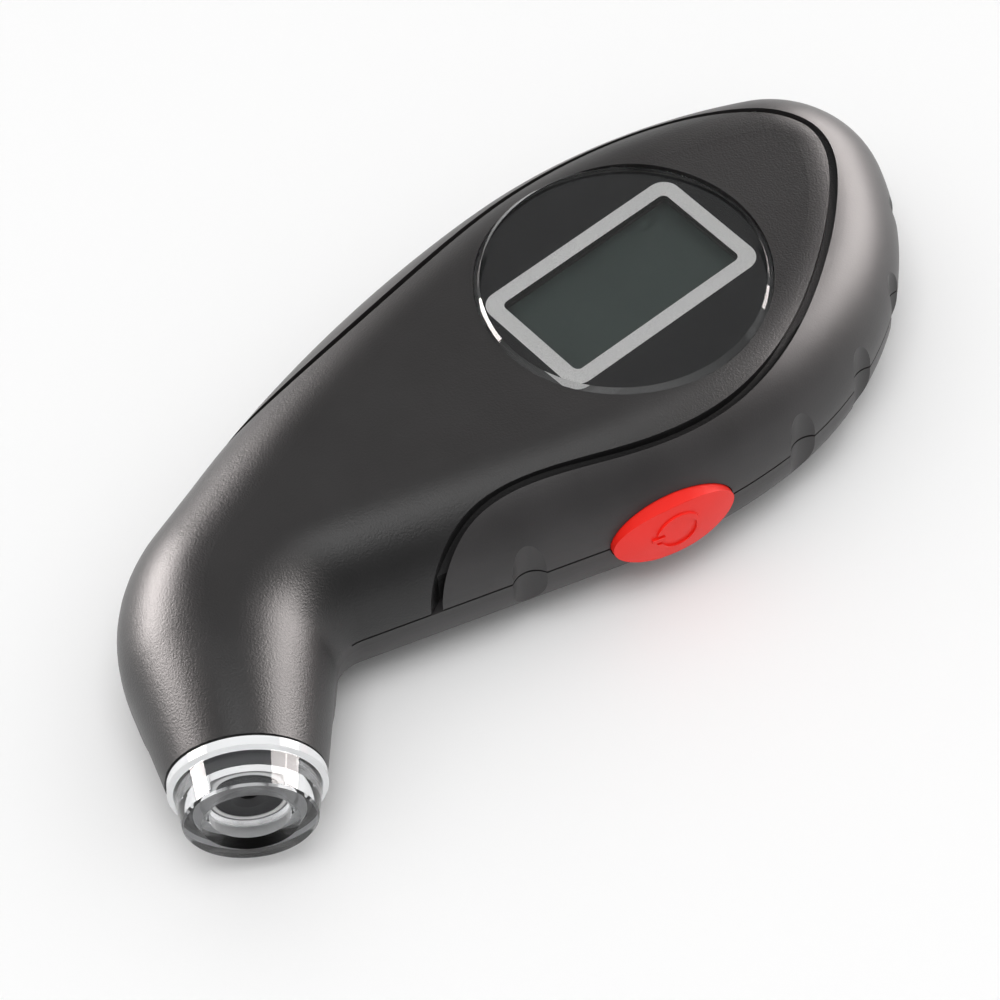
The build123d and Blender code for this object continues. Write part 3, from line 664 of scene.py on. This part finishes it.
def floor():
    """White table that the gauge lies on."""
    size = FLOOR_SIZE
    material = bpy.data.materials.new("floor_white")
    shader = nodes_of(material)[1]
    shader.inputs["Base Color"].default_value = (FLOOR_WHITE, FLOOR_WHITE, FLOOR_WHITE, 1)
    shader.inputs["Roughness"].default_value = 0.8
    shader.inputs["Specular IOR Level"].default_value = 0.1
    made = new_mesh(
        "floor",
        [(-size, -size, 0), (size, -size, 0), (size, size, 0), (-size, size, 0)],
        [(0, 1, 2, 3)],
        material,
    )


def lamp(name, place, target, size, power, colour):
    """Rectangular area lamp that faces its target."""
    light = bpy.data.lights.new(name, "AREA")
    light.shape = "RECTANGLE"
    light.size = size[0]
    light.size_y = size[1]
    light.energy = power
    light.color = colour
    made = bpy.data.objects.new(name, light)
    made.location = place
    toward = Vector(target) - Vector(place)
    made.rotation_euler = toward.to_track_quat("-Z", "Y").to_euler()
    bpy.context.scene.collection.objects.link(made)
    return made


def sky():
    """Pale at the horizon and dim overhead in reflections, white to the camera, even on dull faces."""
    world = bpy.data.worlds.new("studio")
    bpy.context.scene.world = world
    world.use_nodes = True
    tree = world.node_tree
    tree.nodes.clear()
    output = tree.nodes.new("ShaderNodeOutputWorld")
    background = tree.nodes.new("ShaderNodeBackground")
    tree.links.new(background.outputs["Background"], output.inputs["Surface"])
    place = add(tree, "ShaderNodeTexCoord")
    parts = add(tree, "ShaderNodeSeparateXYZ")
    tree.links.new(place.outputs["Generated"], parts.inputs["Vector"])
    ramp = add(tree, "ShaderNodeValToRGB")
    ramp.color_ramp.interpolation = "EASE"
    for element, (height, strength) in zip(ramp.color_ramp.elements, (SKY_LOW, SKY_HIGH)):
        element.position = height
        element.color = (strength, strength, strength, 1)
    tree.links.new(parts.outputs["Z"], ramp.inputs["Fac"])
    path = add(tree, "ShaderNodeLightPath")
    seen = mixed(tree, path.outputs["Is Camera Ray"], ramp.outputs["Color"], (1, 1, 1, 1))
    room = (ROOM_LIGHT, ROOM_LIGHT, ROOM_LIGHT, 1)
    tree.links.new(mixed(tree, path.outputs["Is Diffuse Ray"], seen, room), background.inputs["Color"])


def lights():
    """Sky, soft boxes that only show in reflections, a key overhead and a fill for dull faces."""
    sky()
    for name, direction, distance, size, power, colour, reach in LAMPS:
        place = LAMP_TARGET + Vector(direction).normalized() * distance
        made = lamp(name, place, LAMP_TARGET, size, power, colour)
        made.visible_diffuse = reach != "glossy"
        made.visible_glossy = reach != "diffuse"
        made.visible_transmission = reach != "glossy"


def camera():
    """Camera that looks along the line of sight fitted to the photograph."""
    data = bpy.data.cameras.new("camera")
    data.lens = FOCAL_LENGTH
    data.sensor_width = SENSOR_WIDTH
    data.clip_start = 0.01
    data.clip_end = 20.0
    made = bpy.data.objects.new("camera", data)
    bpy.context.scene.collection.objects.link(made)
    bpy.context.scene.camera = made
    turn = radians(SIGHT_AZIMUTH)
    rise = radians(SIGHT_HEIGHT)
    right = Vector((cos(turn), -sin(turn), 0))
    flat = Vector((-sin(turn), -cos(turn), 0))
    back = flat * cos(rise) + Vector((0, 0, sin(rise)))
    up = flat * -sin(rise) + Vector((0, 0, cos(rise)))
    tilt = radians(ROLL)
    across = right * cos(tilt) - up * sin(tilt)
    upward = right * sin(tilt) + up * cos(tilt)
    spot = Vector(SIGHT_AT) * MM + back * (DISTANCE * MM)
    made.matrix_world = Matrix(
        (
            (across.x, upward.x, back.x, spot.x),
            (across.y, upward.y, back.y, spot.y),
            (across.z, upward.z, back.z, spot.z),
            (0, 0, 0, 1),
        )
    )


def main():
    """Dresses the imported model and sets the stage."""
    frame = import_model()
    bpy.context.scene.view_settings.view_transform = "Standard"
    materials = dress(frame)
    smooth_neck(frame, materials["upper_shell"])
    display_frame(frame)
    floor()
    lights()
    camera()
    bpy.context.view_layer.update()


main()
